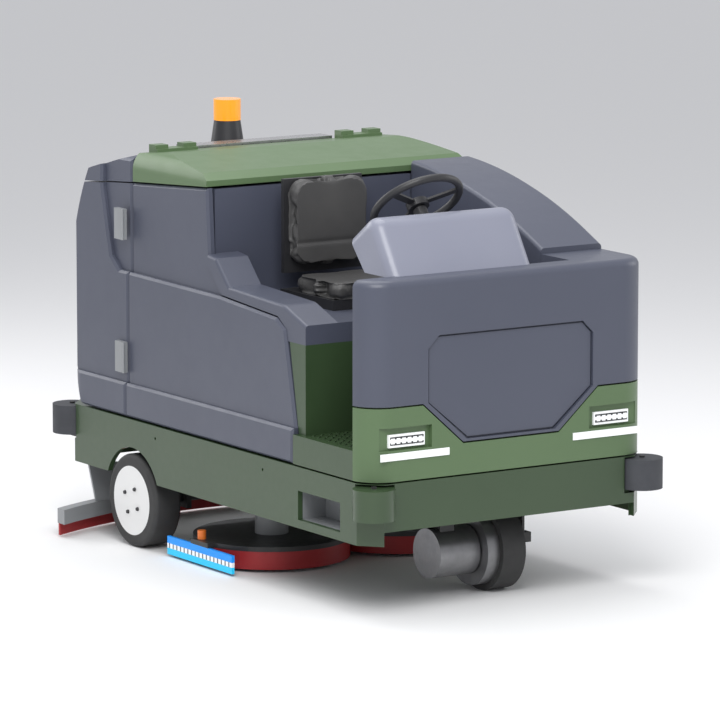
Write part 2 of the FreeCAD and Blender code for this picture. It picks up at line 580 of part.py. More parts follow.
def front_end():
    """The green bumper cover, the slate cowl above it and the cowl's inset panel."""
    outer = front_plan("front_outer", "0", "body_low", "cowl_top")
    soften(outer, lambda edge: on_face(z=val("cowl_top"))(edge) and
           edge.BoundBox.YMin < val("fair_end_y") - 20, "cowl_round")
    inner = front_plan("front_inner", "cover_wall", "body_low - 9", "cowl_top - cover_wall")
    behind = box("behind", "-half_width - 9", "fairing_in", "cowl_side_back", "fair_end_y + 9",
                 "body_low - 9", "cowl_top + 9")
    shell = cut("front_shell", outer, inner, behind)
    cover = common("cover", shell, vee("vee_low_side", "0"))
    pods = []
    for side in ("-", ""):
        near, far = ("out", "in") if side == "-" else ("in", "out")
        pods.append(box("pod", f"{side}pod_{near}", f"{side}pod_{far}", "front - nudge",
                        "front + pod_depth", "pod_low", "pod_high"))
    keep("front_cover", cut("cover", cover, *pods))
    recess = prism("inset_recess", "XZ", inset_outline("0"), "front - nudge",
                   "front + inset_depth")
    cowl = cut("cowl", shell, vee("vee_high_side", "-seam + 1"), recess)
    keep("front_cowl", cowl)
    plate = prism("inset_plate", "XZ", inset_outline("-inset_gap"), "front + inset_depth - 8",
                  "front + inset_depth")
    keep("cowl_panel", cut("cowl_panel", plate, vee("vee_panel", "-seam - 4")))
    lamps, strips = [], []
    for side in ("-", ""):
        near, far = ("out", "in") if side == "-" else ("in", "out")
        lamps.append(box("lamp", f"{side}lamp_{near}", f"{side}lamp_{far}", "front + lamp_depth",
                         "front + pod_depth", "lamp_low", "lamp_high"))
        strips.append(box("strip", f"{side}strip_{near}", f"{side}strip_{far}",
                          "front - strip_out_y", "front", "strip_low", "strip_high"))
    keep("headlamps", group("headlamps", *lamps))
    keep("light_strips", group("light_strips", *strips))


def fairing():
    """The solid left side of the driver's place, under its long curved top."""
    outline = [("fairing_rear", "body_low"), ("fairing_rear", "fair_top_rear"),
               ("fair_mid_y", "fair_mid"), ("fair_low_y", "fair_low"),
               ("fair_end_y + nudge * 2", "fair_end"), ("fair_end_y + nudge * 2", "body_low")]
    body = prism("fairing_form", "YZ", outline, "fairing_in", "side_upper + 15")
    for across, up in (("fair_low_y", "fair_low"), ("fair_mid_y", "fair_mid")):
        soften(body, along("x", y=val(across), z=val(up)), "fair_bend")
    soften(body, lambda edge: edge.BoundBox.ZMin > val("cowl_top") and
           (on_face(x=val("fairing_in"))(edge) or on_face(x=val("side_upper") + 15)(edge)) and
           edge.BoundBox.YLength > 20, "fair_edge")
    room = prism("door_room", "YZ", door_outline("seam + 1"), "side_inner - seam", "half_width + 9")
    wide = prism("fairing_wide", "YZ", [("door_lean - 7", "body_low"), ("door_shoulder - 40",
                 "shoulder_high"), ("fair_end_y + nudge * 2", "shoulder_high - 60"),
                 ("fair_end_y + nudge * 2", "body_low")], "fairing_in + 60", "half_width - 6")
    keep("left_fairing", cut("fairing", fuse("fairing", body, wide), room))


def cab():
    """The driver's place: floor, seat box, its green front, the side rim, back wall and battery."""
    step = box("floor_block", "-half_width + 2", "fairing_in - 2", "cowl_side_back + 2",
               "door_front - seam - 3", "body_low", "floor_high")
    under = box("floor_under", "-half_width + floor_wall", "fairing_in - floor_wall",
                "cowl_side_back + floor_wall", "door_front - floor_wall", "body_low - nudge",
                "floor_high - floor_wall")
    keep("floor_step", cut("floor", step, under))
    green = box("green_front", "-rim_out", "fairing_in - 2", "seatbox_front",
                "seatbox_front + panel_wall", "floor_high", "seatbox_mid")
    side = prism("green_side", "YZ", [("seatbox_front", "floor_high"), ("door_lean - 2 * seam",
                 "floor_high"), ("door_shoulder - 2 * seam - 14", "seatbox_mid"),
                 ("seatbox_front", "seatbox_mid")], "-rim_out", "-side_inner - seam")
    keep("seat_box_front", fuse("green", green, side))
    top = box("seat_box_top", "-side_inner + seam + 2", "fairing_in - 2", "seatbox_front",
              "seatbox_back", "seatbox_mid", "seatbox_top")
    hollow = box("seat_box_under", "-side_inner + panel_wall", "fairing_in - panel_wall",
                 "seatbox_front + panel_wall", "seatbox_back - panel_wall",
                 "seatbox_mid - nudge", "seatbox_top - panel_wall")
    keep("seat_box", cut("seat_box", top, hollow))
    rim = prism("rim_form", "YZ", [("seatbox_front", "seatbox_mid"), ("seatbox_front", "seatbox_top"), ("rim_low_y", "rim_low"),
                ("rim_mid_y", "rim_mid"), ("rim_high_y", "rim_high"), ("seatbox_back", "rim_high + 9"),
                ("seatbox_back", "seatbox_mid")], "-rim_out", "-rim_in")
    soften(rim, along("x", y=val("rim_low_y"), z=val("rim_low")), "rim_round * 2")
    soften(rim, lambda edge: edge.BoundBox.ZMin > val("seatbox_top") + 1 and
           on_face(x=-val("rim_out"))(edge), "12")
    room = prism("rim_room", "YZ", door_outline("seam + 1"), "-half_width - 9",
                 "-side_inner + seam")
    keep("console", cut("console", rim, room, NODES["seat_box"]))
    keep("cab_liner", box("liner", "-side_inner + seam + 2", "fairing_in - 2", "liner_front",
                          "liner_back", "seatbox_top", "liner_top"))
    keep("battery_block", box("battery", "-battery_x", "battery_x", "battery_front",
                              "battery_back", "battery_low", "battery_top"))


def seat():
    """Base, cushion and back of the driver's seat, as plain closed solids."""
    keep("seat_base", box("seat_plinth", "seat_x - base_half", "seat_x + base_half", "base_front",
                          "base_back", "seatbox_top", "cushion_low"))
    cushion = prism("cushion_form", "XY", [("seat_x - seat_half", "cushion_front"),
                    ("seat_x + seat_half", "cushion_front"), ("seat_x + seat_half",
                    "cushion_back"), ("seat_x - seat_half", "cushion_back")], "cushion_low",
                    "cushion_top")
    keep("seat_cushion", cushion)
    back = prism("back_form", "XZ", [("seat_x - seat_half", "back_low + 12"),
                 ("seat_x + seat_half", "back_low + 12"), ("seat_x + seat_half", "back_top"),
                 ("seat_x - seat_half", "back_top")], "back_front + back_depth * 0",
                 "back_front + back_depth")
    soften(back, lambda edge: edge.BoundBox.YLength > 20 and edge.BoundBox.ZLength < 1, "70")
    keep("seat_back", back)
    keep("seat_shell", box("shell_form", "seat_x - seat_half + 20", "seat_x + seat_half - 20",
                           "back_front + back_depth", "back_front + back_depth + shell_wall * 2",
                           "cushion_top", "back_top - 30"))


def controls():
    """Hood, dials, steering column and wheel, and the pedals."""
    hood = prism("hood_form", "YZ", [("hood_foot_y", "hood_low"), ("hood_peak_y", "hood_peak"),
                 ("hood_brow_y", "hood_brow"), ("hood_heel_y", "hood_low")], "hood_right",
                 "hood_left")
    soften(hood, lambda edge: edge.BoundBox.XLength > 100 and edge.BoundBox.ZMin >
           val("hood_peak") - 1, "hood_crown")
    soften(hood, lambda edge: edge.BoundBox.YMax < val("hood_peak_y") + 20 and
           edge.BoundBox.XLength < 1 and edge.BoundBox.ZLength > 100, "hood_side")
    hollow = prism("hood_hollow", "YZ", [("hood_foot_y + 60", "hood_low + 24"),
                   ("hood_peak_y + 6", "hood_peak - 44"), ("hood_brow_y + 60", "hood_brow - 56"),
                   ("hood_heel_y + 60", "hood_low + 24")], "hood_right + hood_wall",
                   "hood_left - hood_wall")
    keep("dash_hood", cut("hood", hood, hollow, NODES["front_cowl"]))
    keep("instrument_panel", prism("dial_plate", "YZ", [("hood_heel_y - 74", "hood_low + 26"),
         ("hood_brow_y - 92", "hood_brow - 14"), ("hood_brow_y - 92 + dial_wall",
         "hood_brow - 14 - 8"), ("hood_heel_y - 74 + dial_wall", "hood_low + 26")],
         "hood_right + hood_wall + 2", "hood_left - hood_wall - 2"))
    tilt = math.radians(val("steer_tilt"))
    turn = FreeCAD.Rotation(FreeCAD.Vector(1, 0, 0), -val("steer_tilt"))
    middle = FreeCAD.Vector(val("seat_x"), val("steer_y"), val("steer_height"))
    normal = FreeCAD.Vector(0, math.sin(tilt), math.cos(tilt))
    ring = Part.makeTorus(val("wheel_ring"), val("wheel_tube"))
    hub = Part.makeCylinder(val("steer_hub"), 26, FreeCAD.Vector(0, 0, -22))
    wheel = ring.fuse(hub)
    for spoke in (90, 210, 330):
        arm = Part.makeBox(val("wheel_ring"), 26, 8, FreeCAD.Vector(0, -13, -8))
        arm.rotate(FreeCAD.Vector(), FreeCAD.Vector(0, 0, 1), spoke)
        wheel = wheel.fuse(arm)
    item = doc.addObject("Part::Feature", "steering_ring")
    item.Shape = wheel
    item.Placement = FreeCAD.Placement(middle, turn)
    keep("steering_wheel", item)
    column = doc.addObject("Part::Feature", "column_tube")
    foot = Part.makeCylinder(val("column_radius"), val("column_length"))
    column.Shape = foot
    column.Placement = FreeCAD.Placement(middle - normal * (val("column_length") + 26), turn)
    leg = box("column_leg", "seat_x - leg_half", "seat_x + leg_half", "leg_front", "leg_back",
              "floor_high", "hood_low + 12")
    arm = box("column_arm", "seat_x - 30", "seat_x + 30", "leg_back - 30", "steer_y - 88",
              "hood_low - 10", "hood_low + 48")
    keep("steering_column", cut("column", fuse("column", column, leg, arm), NODES["dash_hood"],
                                NODES["front_cowl"], NODES["instrument_panel"]))
    keep("pedals", group("pedals", *[prism("pedal", "YZ", [("pedal_front", "floor_high"),
         ("pedal_front", "floor_high + pedal_rise"), ("pedal_back", "floor_high + pedal_wall"),
         ("pedal_back", "floor_high")], f"{side} - pedal_half", f"{side} + pedal_half")
         for side in ("pedal_x", "pedal_x + 260")]))


def tank():
    """The recovery tank behind the driver, open under the lid."""
    outer = box("tank_outer", "-tank_half", "tank_half", "tank_front", "tank_back", "tank_low",
                "tank_top")
    inner = box("tank_inner", "-tank_half + tank_wall", "tank_half - tank_wall",
                "tank_front + tank_wall", "tank_back - tank_wall", "tank_low + tank_wall",
                "tank_top + nudge")
    keep("recovery_tank", cut("tank", outer, inner))


def scrub_deck():
    """The deck that carries two disc brushes, their motors, the red ring and the side skirts."""
    discs = [rod("deck_disc", "z", (f"{side}brush_x", "brush_y"), "deck_radius", "deck_low",
                 "deck_high") for side in ("-", "")]
    posts = [rod("deck_post", "z", (f"{side}post_x", "post_y"), "post_radius", "deck_low",
                 "post_top") for side in ("-", "")]
    arms = [box("guard_arm", low, high, "brush_y - 60", "brush_y + 60", "deck_low", "deck_high")
            for low, high in (("-guard_out", "-brush_x"), ("brush_x", "guard_out"))]
    holes = [rod("spindle_hole", "z", (f"{side}brush_x", "brush_y"), "spindle_radius + 1",
                 "deck_low - nudge", "deck_high + nudge") for side in ("-", "")]
    keep("deck_plate", cut("deck", fuse("deck", *discs, *posts, *arms), *holes))
    rings = [rod("ring_disc", "z", (f"{side}brush_x", "brush_y"), "deck_radius", "ring_low",
                 "deck_low") for side in ("-", "")]
    hollows = [rod("ring_hollow", "z", (f"{side}brush_x", "brush_y"), "deck_radius - skirt_ring",
                   "ring_low - nudge", "deck_low + nudge") for side in ("-", "")]
    keep("brush_skirt", cut("ring", fuse("ring", *rings), *hollows))
    keep("side_skirts", group("guards", *[box("guard", low, high, "guard_front", "guard_back",
         "guard_low", "deck_low") for low, high in (("-guard_out", "-guard_out + guard_plate"),
                                                    ("guard_out - guard_plate", "guard_out"))]))
    keep("brush_motors", group("motors", *[rod("deck_motor_can", "z", (f"{side}brush_x",
         "brush_y"), "deck_motor", "motor_low", "motor_high") for side in ("-", "")]))
    keep("deck_knobs", group("knobs", *[rod("deck_knob", "z", (f"{side}(guard_out - 30)",
         "brush_y + 30"), "knob_radius", "deck_high", "knob_high") for side in ("-", "")]))
    for name, side in (("right", "-"), ("left", "")):
        centre = (f"{side}brush_x", "brush_y")
        disc = rod("brush_disc", "z", centre, "brush_radius", "brush_low", "brush_high")
        spindle = rod("spindle", "z", centre, "spindle_radius", "brush_low", "deck_high - 2")
        keep("brush_" + name, fuse("brush_" + name, disc, spindle))


def squeegee():
    """The arched squeegee behind the wheels on two arms that lift it."""
    def arc_piece(name, radius_out, radius_in, low, high):
        centre = ("0", "sweep_rear - sweep_radius")
        ring = cut(name, rod(name + "_out", "z", centre, radius_out, low, high),
                   rod(name + "_in", "z", centre, radius_in, f"{low} - nudge", f"{high} + nudge"))
        window = box(name + "_window", "-sweep_half", "sweep_half", "0", "rear + 60", "0",
                     "skirt_low")
        return common(name, ring, window)
    keep("squeegee_channel", arc_piece("channel", "sweep_radius", "sweep_radius - channel_depth",
                                       "channel_low", "channel_high"))
    keep("squeegee_blade", arc_piece("blade", "sweep_radius - 6", "sweep_radius - 6 - blade_wall",
                                     "blade_low", "channel_low"))
    arms = []
    for side in ("-arm_x", "arm_x"):
        low, high = f"{side} - arm_wall / 2", f"{side} + arm_wall / 2"
        arms.append(prism("lift_arm", "YZ", [("pivot_y - 26", "pivot_height - 26"),
                    ("pivot_y - 26", "pivot_height + 4"), ("arm_foot - 60", "pivot_height - 20"),
                    ("arm_foot + 30", "channel_high + 20"), ("arm_foot + 30", "channel_high"),
                    ("arm_foot - 40", "channel_high")], low, high))
    bar = rod("pivot_bar", "x", ("pivot_y", "pivot_height"), "pivot_radius", "-rail_inner + 6",
              "rail_inner - 6")
    keep("squeegee_arms", fuse("arms", bar, *arms))
    plates = []
    for side, near, far in (("-", "out", "in"), ("", "in", "out")):
        foot = f"{side}(plate_out - 30)"
        plates.append(prism("side_guard", "XZ", [(f"{side}plate_out", "plate_high"),
                      (f"{side}plate_in", "plate_high"), (f"{side}(plate_in + 30)",
                      "channel_high"), (foot, "channel_high")], "plate_y - 60 - plate_wall",
                      "plate_y - 60"))
    keep("squeegee_guards", group("guards_rear", *plates))
    keep("squeegee_knobs", group("knobs_rear", *[rod("rear_knob", "z", (f"{side}squeegee_knob_x",
         "arm_foot + 16"), "squeegee_knob", "channel_high", "squeegee_knob_top")
         for side in ("-", "")]))


for make in (chassis, frame, rollers, rear_wheels, drive_unit, side_door, rear_cover, roof_lid,
             beacon, front_end, fairing, cab, seat, controls, tank, scrub_deck, squeegee):
    make()
    doc.recompute()

for item in doc.Objects:
    if "Invalid" in item.State or "Error" in item.State:
        raise RuntimeError(f"{item.Name} failed: {item.State}")
os.makedirs("parts", exist_ok=True)
for node, piece in NODES.items():
    shape = piece.Shape
    if shape.isNull() or not shape.isValid() or not shape.Solids:
        raise RuntimeError(f"{node} has no valid solid")
    shape.exportStep(f"parts/{node}.step")
    box_now = shape.BoundBox
    print(f"{node:18s} solids {len(shape.Solids)} volume {shape.Volume / 1e6:9.3f} l  "
          f"X {box_now.XMin:7.1f} {box_now.XMax:7.1f}  Y {box_now.YMin:7.1f} {box_now.YMax:7.1f}  "
          f"Z {box_now.ZMin:7.1f} {box_now.ZMax:7.1f}")
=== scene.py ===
# %% [markdown]
# # A ride-on floor scrubber
# The construction comes as a fixed frame of parts. This file finishes each surface, replaces the
# soft seat pads and adds the small repeated details. Everything is in metres.

# %% Load the frame
import bpy, bmesh
import json
import math
from mathutils import Matrix, Vector


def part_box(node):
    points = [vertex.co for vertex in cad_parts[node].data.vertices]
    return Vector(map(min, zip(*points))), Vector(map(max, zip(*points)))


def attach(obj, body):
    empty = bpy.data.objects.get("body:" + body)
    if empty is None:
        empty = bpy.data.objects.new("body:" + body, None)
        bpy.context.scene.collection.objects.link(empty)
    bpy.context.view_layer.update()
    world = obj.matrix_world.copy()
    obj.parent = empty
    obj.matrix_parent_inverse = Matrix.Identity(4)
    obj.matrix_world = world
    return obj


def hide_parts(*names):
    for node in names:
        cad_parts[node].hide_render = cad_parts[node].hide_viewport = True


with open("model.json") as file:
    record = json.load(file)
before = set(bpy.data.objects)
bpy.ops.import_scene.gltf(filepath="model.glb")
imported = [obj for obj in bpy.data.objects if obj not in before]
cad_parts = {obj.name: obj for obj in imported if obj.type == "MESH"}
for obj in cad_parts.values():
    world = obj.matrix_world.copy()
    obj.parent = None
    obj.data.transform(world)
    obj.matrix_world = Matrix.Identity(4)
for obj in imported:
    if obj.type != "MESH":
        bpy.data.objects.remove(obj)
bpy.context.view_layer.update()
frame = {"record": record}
scene = bpy.context.scene
scene.view_settings.view_transform = "Standard"

# %% [markdown]
# The camera stands far off with a long lens, so that upright lines stay nearly parallel, as in a
# catalogue view. It looks at the middle of the machine from the front right, a little above.

# %% Camera
AIM = Vector((0.0964, 0.0748, 0.710))
AWAY = Vector((-0.5333, -0.8306, 0.160)).normalized()
camera = bpy.data.objects.new("camera", bpy.data.cameras.new("camera"))
camera.location = AIM + AWAY * 20.0
camera.rotation_euler = AWAY.to_track_quat("Z", "Y").to_euler()
camera.data.lens = 270.0
camera.data.clip_end = 100.0
scene.collection.objects.link(camera)
scene.camera = camera

# %% [markdown]
# Shader maths reads best as plain expressions. This class wraps a socket, so that adding or
# multiplying two values adds a Math node.

# %% Sockets as values
class Value:
    def __init__(self, tree, socket):
        self.tree, self.socket = tree, socket

    def _math(self, operation, first, second=None):
        node = self.tree.nodes.new("ShaderNodeMath")
        node.operation = operation
        for slot, item in zip(node.inputs, (first, second)):
            if isinstance(item, Value):
                self.tree.links.new(item.socket, slot)
            elif item is not None:
                slot.default_value = item
        return Value(self.tree, node.outputs[0])

    def __add__(self, other): return self._math("ADD", self, other)
    def __radd__(self, other): return self._math("ADD", other, self)
    def __sub__(self, other): return self._math("SUBTRACT", self, other)
    def __rsub__(self, other): return self._math("SUBTRACT", other, self)
    def __mul__(self, other): return self._math("MULTIPLY", self, other)
    def __rmul__(self, other): return self._math("MULTIPLY", other, self)
    def above(self, level): return self._math("GREATER_THAN", self, level)
    def below(self, level): return self._math("LESS_THAN", self, level)


class Finish:
    """One material: its tree, its Principled shader and short ways to add nodes."""

    def __init__(self, name, color, roughness, metallic=0.0, coat=0.0):
        self.material = bpy.data.materials.new(name)
        self.material.use_nodes = True
        self.material.diffuse_color = (*color, 1.0)
        self.tree = self.material.node_tree
        self.shader = self.tree.nodes["Principled BSDF"]
        self.shader.inputs["Base Color"].default_value = (*color, 1.0)
        self.shader.inputs["Roughness"].default_value = roughness
        self.shader.inputs["Metallic"].default_value = metallic
        self.shader.inputs["Coat Weight"].default_value = coat
        self.place = self.add("ShaderNodeTexCoord").outputs["Object"]

    def add(self, kind, settings=None, **inputs):
        node = self.tree.nodes.new(kind)
        for key, item in (settings or {}).items():
            setattr(node, key, item)
        for key, item in inputs.items():
            slot = node.inputs[key.replace("_", " ")]
            if isinstance(item, Value):
                self.tree.links.new(item.socket, slot)
            elif isinstance(item, bpy.types.NodeSocket):
                self.tree.links.new(item, slot)
            else:
                slot.default_value = item
        return node

    def noise(self, scale, detail=3.0):
        node = self.add("ShaderNodeTexNoise", Vector=self.place, Scale=scale, Detail=detail)
        return Value(self.tree, node.outputs[0])

    def axis(self, letter):
        split = self.add("ShaderNodeSeparateXYZ", Vector=self.place)
        return Value(self.tree, split.outputs[letter])

    def blend(self, first, second, factor):
        node = self.add("ShaderNodeMix", {"data_type": "RGBA"})
        for slot, item in ((6, first), (7, second), (0, factor)):
            if isinstance(item, Value):
                self.tree.links.new(item.socket, node.inputs[slot])
            elif isinstance(item, bpy.types.NodeSocket):
                self.tree.links.new(item, node.inputs[slot])
            else:
                node.inputs[slot].default_value = item if slot == 0 else (*item, 1.0)
        return node.outputs[2]

    def feed(self, name, item):
        socket = item.socket if isinstance(item, Value) else item
        self.tree.links.new(socket, self.shader.inputs[name])

    def bump(self, height, distance, strength=0.4):
        node = self.add("ShaderNodeBump", Height=height, Distance=distance, Strength=strength)
        self.feed("Normal", node.outputs[0])

# %% [markdown]
# Most of the body is moulded plastic with a fine grain. The colour drifts a little over a large
# panel, and the grain is a small bump. Painted steel has orange peel instead.

# %% Finishes
def moulded(name, color, light, roughness=0.42, grain=420.0, depth=0.0004):
    """Grained moulding: its colour drifts between two shades."""
    finish = Finish(name, color, roughness, coat=0.12)
    drift = finish.noise(2.2, 4.0)
    finish.feed("Base Color", finish.blend(color, light, drift * 0.8))
    finish.feed("Roughness", finish.noise(14.0) * 0.16 + (roughness - 0.08))
    finish.bump(finish.noise(grain, 2.0), depth, 0.35)
    return finish.material


def painted(name, color, light, roughness=0.36):
    """Painted steel with orange peel."""
    finish = Finish(name, color, roughness, coat=0.2)
    finish.feed("Base Color", finish.blend(color, light, finish.noise(3.0)))
    finish.feed("Roughness", finish.noise(40.0) * 0.15 + (roughness - 0.07))
    finish.bump(finish.noise(160.0, 1.0), 0.0005, 0.25)
    return finish.material


def metal(name, color, roughness=0.38):
    """Cast or turned metal: mottled, with a fine rough grain."""
    finish = Finish(name, color, roughness, metallic=0.85)
    finish.feed("Base Color", finish.blend(color, tuple(c * 0.6 for c in color), finish.noise(22.0)))
    finish.feed("Roughness", finish.noise(90.0) * 0.3 + (roughness - 0.15))
    finish.bump(finish.noise(300.0), 0.0003, 0.3)
    return finish.material


def rubbery(name, color, roughness=0.7, scale=60.0):
    """Rubber with dust drifting over it."""
    finish = Finish(name, color, roughness)
    dusty = tuple(min(1.0, c * 1.8 + 0.02) for c in color)
    finish.feed("Base Color", finish.blend(color, dusty, finish.noise(9.0, 5.0)))
    finish.feed("Roughness", finish.noise(30.0) * 0.2 + (roughness - 0.1))
    finish.bump(finish.noise(scale, 4.0), 0.0006, 0.4)
    return finish.material


def vinyl(name):
    """Black seat vinyl with a leather grain of small cells."""
    finish = Finish(name, (0.045, 0.045, 0.047), 0.48)
    cells = finish.add("ShaderNodeTexVoronoi", {"feature": "DISTANCE_TO_EDGE"},
                       Vector=finish.place, Scale=260.0)
    finish.feed("Base Color", finish.blend((0.035, 0.035, 0.037), (0.085, 0.083, 0.08),
                                           finish.noise(6.0, 4.0)))
    finish.feed("Roughness", finish.noise(50.0) * 0.2 + 0.38)
    finish.bump(Value(finish.tree, cells.outputs[0]), 0.0012, 0.4)
    return finish.material


def brush_fibre(name):
    """Packed nylon bristles, light and dark side by side."""
    finish = Finish(name, (0.06, 0.06, 0.07), 0.8)
    finish.feed("Base Color", finish.blend((0.03, 0.03, 0.04), (0.16, 0.16, 0.17),
                                           finish.noise(500.0, 2.0)))
    finish.bump(finish.noise(700.0), 0.002, 0.7)
    return finish.material


def banded_skirt(name):
    """The side skirt: blue above, a white ticked band, cyan below, by height."""
    finish = Finish(name, (0.0, 0.35, 1.0), 0.4)
    up, back = finish.axis("Z"), finish.axis("Y")
    white = up.above(0.034) * up.below(0.052)
    tick = finish.add("ShaderNodeMath", {"operation": "FRACT"})
    finish.tree.links.new((back * 38.0).socket, tick.inputs[0])
    ticks = Value(finish.tree, tick.outputs[0]).above(0.72)
    low = finish.blend((0.0, 0.32, 1.0), (0.01, 0.62, 1.0), up.below(0.034))
    band = finish.blend((0.95, 0.96, 0.97), (0.05, 0.07, 0.1), ticks)
    finish.feed("Base Color", finish.blend(low, band, white))
    finish.bump(finish.noise(120.0), 0.0005, 0.3)
    return finish.material


def glowing(name, color, strength):
    """A ribbed lens that glows faintly."""
    finish = Finish(name, color, 0.2, coat=0.6)
    finish.shader.inputs["Emission Color"].default_value = (*color, 1.0)
    finish.shader.inputs["Emission Strength"].default_value = strength
    ribs = finish.axis("X") * 400.0
    wave = finish.add("ShaderNodeMath", {"operation": "SINE"})
    finish.tree.links.new(ribs.socket, wave.inputs[0])
    finish.bump(Value(finish.tree, wave.outputs[0]), 0.0008, 0.3)
    finish.feed("Roughness", finish.noise(60.0) * 0.1 + 0.15)
    return finish.material


SLATE, SLATE_LIGHT = (0.063, 0.070, 0.100), (0.082, 0.090, 0.125)
MATERIALS = {
    "green": painted("chassis_green", (0.030, 0.058, 0.024), (0.042, 0.075, 0.032)),
    "light_green": moulded("moulded_green", (0.082, 0.140, 0.060), (0.112, 0.180, 0.085)),
    "slate": moulded("moulded_slate", SLATE, SLATE_LIGHT),
    "hood_grey": moulded("hood_slate", (0.20, 0.21, 0.27), (0.27, 0.28, 0.34), 0.34),
    "black": moulded("black_plastic", (0.014, 0.014, 0.016), (0.03, 0.03, 0.033), 0.5),
    "steel_black": painted("black_steel", (0.012, 0.012, 0.013), (0.03, 0.03, 0.03), 0.5),
    "steel_grey": painted("grey_steel", (0.30, 0.31, 0.32), (0.22, 0.23, 0.24), 0.42),
    "tyre": rubbery("tyre_rubber", (0.018, 0.018, 0.018)),
    "rim_white": moulded("white_hub", (0.82, 0.82, 0.81), (0.70, 0.70, 0.69), 0.4),
    "alloy": metal("cast_alloy", (0.33, 0.33, 0.34), 0.4),
    "rubber": rubbery("roller_rubber", (0.030, 0.032, 0.038)),
    "seat_vinyl": vinyl("seat_vinyl"),
    "amber": glowing("amber_lens", (1.0, 0.36, 0.01), 0.25),
    "lamp": glowing("lamp_white", (0.88, 0.9, 0.9), 0.15),
    "red": rubbery("red_rubber", (0.24, 0.004, 0.006), 0.5),
    "blue": banded_skirt("banded_skirt"),
    "orange": moulded("orange_knob", (0.75, 0.16, 0.02), (0.85, 0.22, 0.03), 0.4),
    "bristle": brush_fibre("brush_fibre"),
    "tank_grey": moulded("tank_grey", (0.24, 0.25, 0.27), (0.30, 0.31, 0.33), 0.55),
    "steel": metal("bright_steel", (0.55, 0.55, 0.56), 0.3),
}
slot_of = {row["node"]: row["material_slot"] for row in frame["record"]["subparts"]}
for node, slot in slot_of.items():
    solid = bpy.data.objects[node]
    solid.data.materials.clear()
    solid.data.materials.append(MATERIALS[slot])
print("finished", len(slot_of), "nodes")

# %% [markdown]
# The stage is a pale floor with soft lamps: a large key above the front right, a fill from the
# left, and a low world light that lets plastic show its colour.

# %% Stage and lamps
def area(name, place, size, power):
    lamp = bpy.data.lights.new(name, "AREA")
    lamp.energy, lamp.size = power, size
    obj = bpy.data.objects.new(name, lamp)
    obj.location = place
    obj.rotation_euler = (Vector(place) - AIM).to_track_quat("Z", "Y").to_euler()
    scene.collection.objects.link(obj)


area("key", (-2.5, -3.5, 4.5), 3.0, 190.0)
area("top", (0.0, 1.0, 5.5), 4.0, 130.0)
area("left", (5.0, -2.0, 2.5), 3.0, 60.0)
area("rear", (-2.0, 5.0, 3.0), 3.0, 70.0)
world = bpy.data.worlds.new("studio")
scene.world = world
world.use_nodes = True
world.node_tree.nodes["Background"].inputs["Color"].default_value = (0.95, 0.96, 1.0, 1.0)
world.node_tree.nodes["Background"].inputs["Strength"].default_value = 0.65
floor_mesh = bpy.data.meshes.new("floor")
reach = 40.0
floor_mesh.from_pydata([(-reach, -reach, 0), (reach, -reach, 0), (reach, reach, 0),
                        (-reach, reach, 0)], [], [(0, 1, 2, 3)])
floor = bpy.data.objects.new("floor", floor_mesh)
scene.collection.objects.link(floor)
pale = Finish("floor_pale", (0.88, 0.88, 0.88), 0.7)
floor_mesh.materials.append(pale.material)

# %% [markdown]
# The seat pads are foam under vinyl: crowned, with sides that pull in at the corners. Each starts
# from a block a little inside its frame solid. Cloth with inner pressure swells it, and how far a
# point may move is capped, so that the pad keeps its place.

# %% Padded seat pieces
PAD_INSET = 0.012
VOXEL = 0.008


def rounded_block(name, low, high, corner, depth_axis):
    """A block whose four long corners are round, inside the two corners given."""
    mesh = bpy.data.meshes.new(name)
    shape = bmesh.new()
    bmesh.ops.create_cube(shape, size=1.0)
    middle, span = (low + high) / 2, high - low
    for vert in shape.verts:
        vert.co = Vector([middle[k] + vert.co[k] * span[k] for k in range(3)])
    long_edges = [edge for edge in shape.edges
                  if abs((edge.verts[0].co - edge.verts[1].co)[depth_axis]) > 0.5 * span[depth_axis]]
    bmesh.ops.bevel(shape, geom=long_edges, offset=corner, segments=8, profile=0.5,
                    affect="EDGES")
    shape.to_mesh(mesh)
    shape.free()
    obj = bpy.data.objects.new(name, mesh)
    scene.collection.objects.link(obj)
    return obj


def applied(obj):
    """The object with its modifiers made into its mesh."""
    ready = bpy.data.meshes.new_from_object(obj.evaluated_get(bpy.context.evaluated_depsgraph_get()))
    obj.modifiers.clear()
    obj.data = ready
    return obj


def swell(obj, pressure, cap, depth_axis):
    """Cloth with inner pressure; a point moves mostly through the pad's depth, and is capped."""
    start = [vert.co.copy() for vert in obj.data.vertices]
    cloth = obj.modifiers.new("cloth", "CLOTH")
    cloth.settings.use_pressure = True
    cloth.settings.uniform_pressure_force = pressure
    cloth.settings.effector_weights.gravity = 0.0
    for step in range(1, 21):
        scene.frame_set(step)
    applied(obj)
    scene.frame_set(1)
    for vert, was in zip(obj.data.vertices, start):
        move = vert.co - was
        for axis in range(3):
            move[axis] *= 1.0 if axis == depth_axis else 0.2
        if move.length > cap:
            vert.co = was + move.normalized() * cap
    return obj


def pad(name, node, corner, depth_axis, cap, stitch):
    low, high = (Vector(corner_now) for corner_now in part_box(node))
    inset = Vector((PAD_INSET,) * 3)
    obj = rounded_block(name, low + inset, high - inset, corner, depth_axis)
    remesh = obj.modifiers.new("remesh", "REMESH")
    remesh.mode, remesh.voxel_size = "VOXEL", VOXEL
    applied(obj)
    swell(obj, 4.0, cap, depth_axis)
    groove_pad(obj, low, high, stitch)
    smooth = obj.modifiers.new("smooth", "SUBSURF")
    smooth.levels = smooth.render_levels = 1
    obj.data.materials.clear()
    obj.data.materials.append(MATERIALS["seat_vinyl"])
    for face in obj.data.polygons:
        face.use_smooth = True
    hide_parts(node)
    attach(obj, "machine")
    return obj


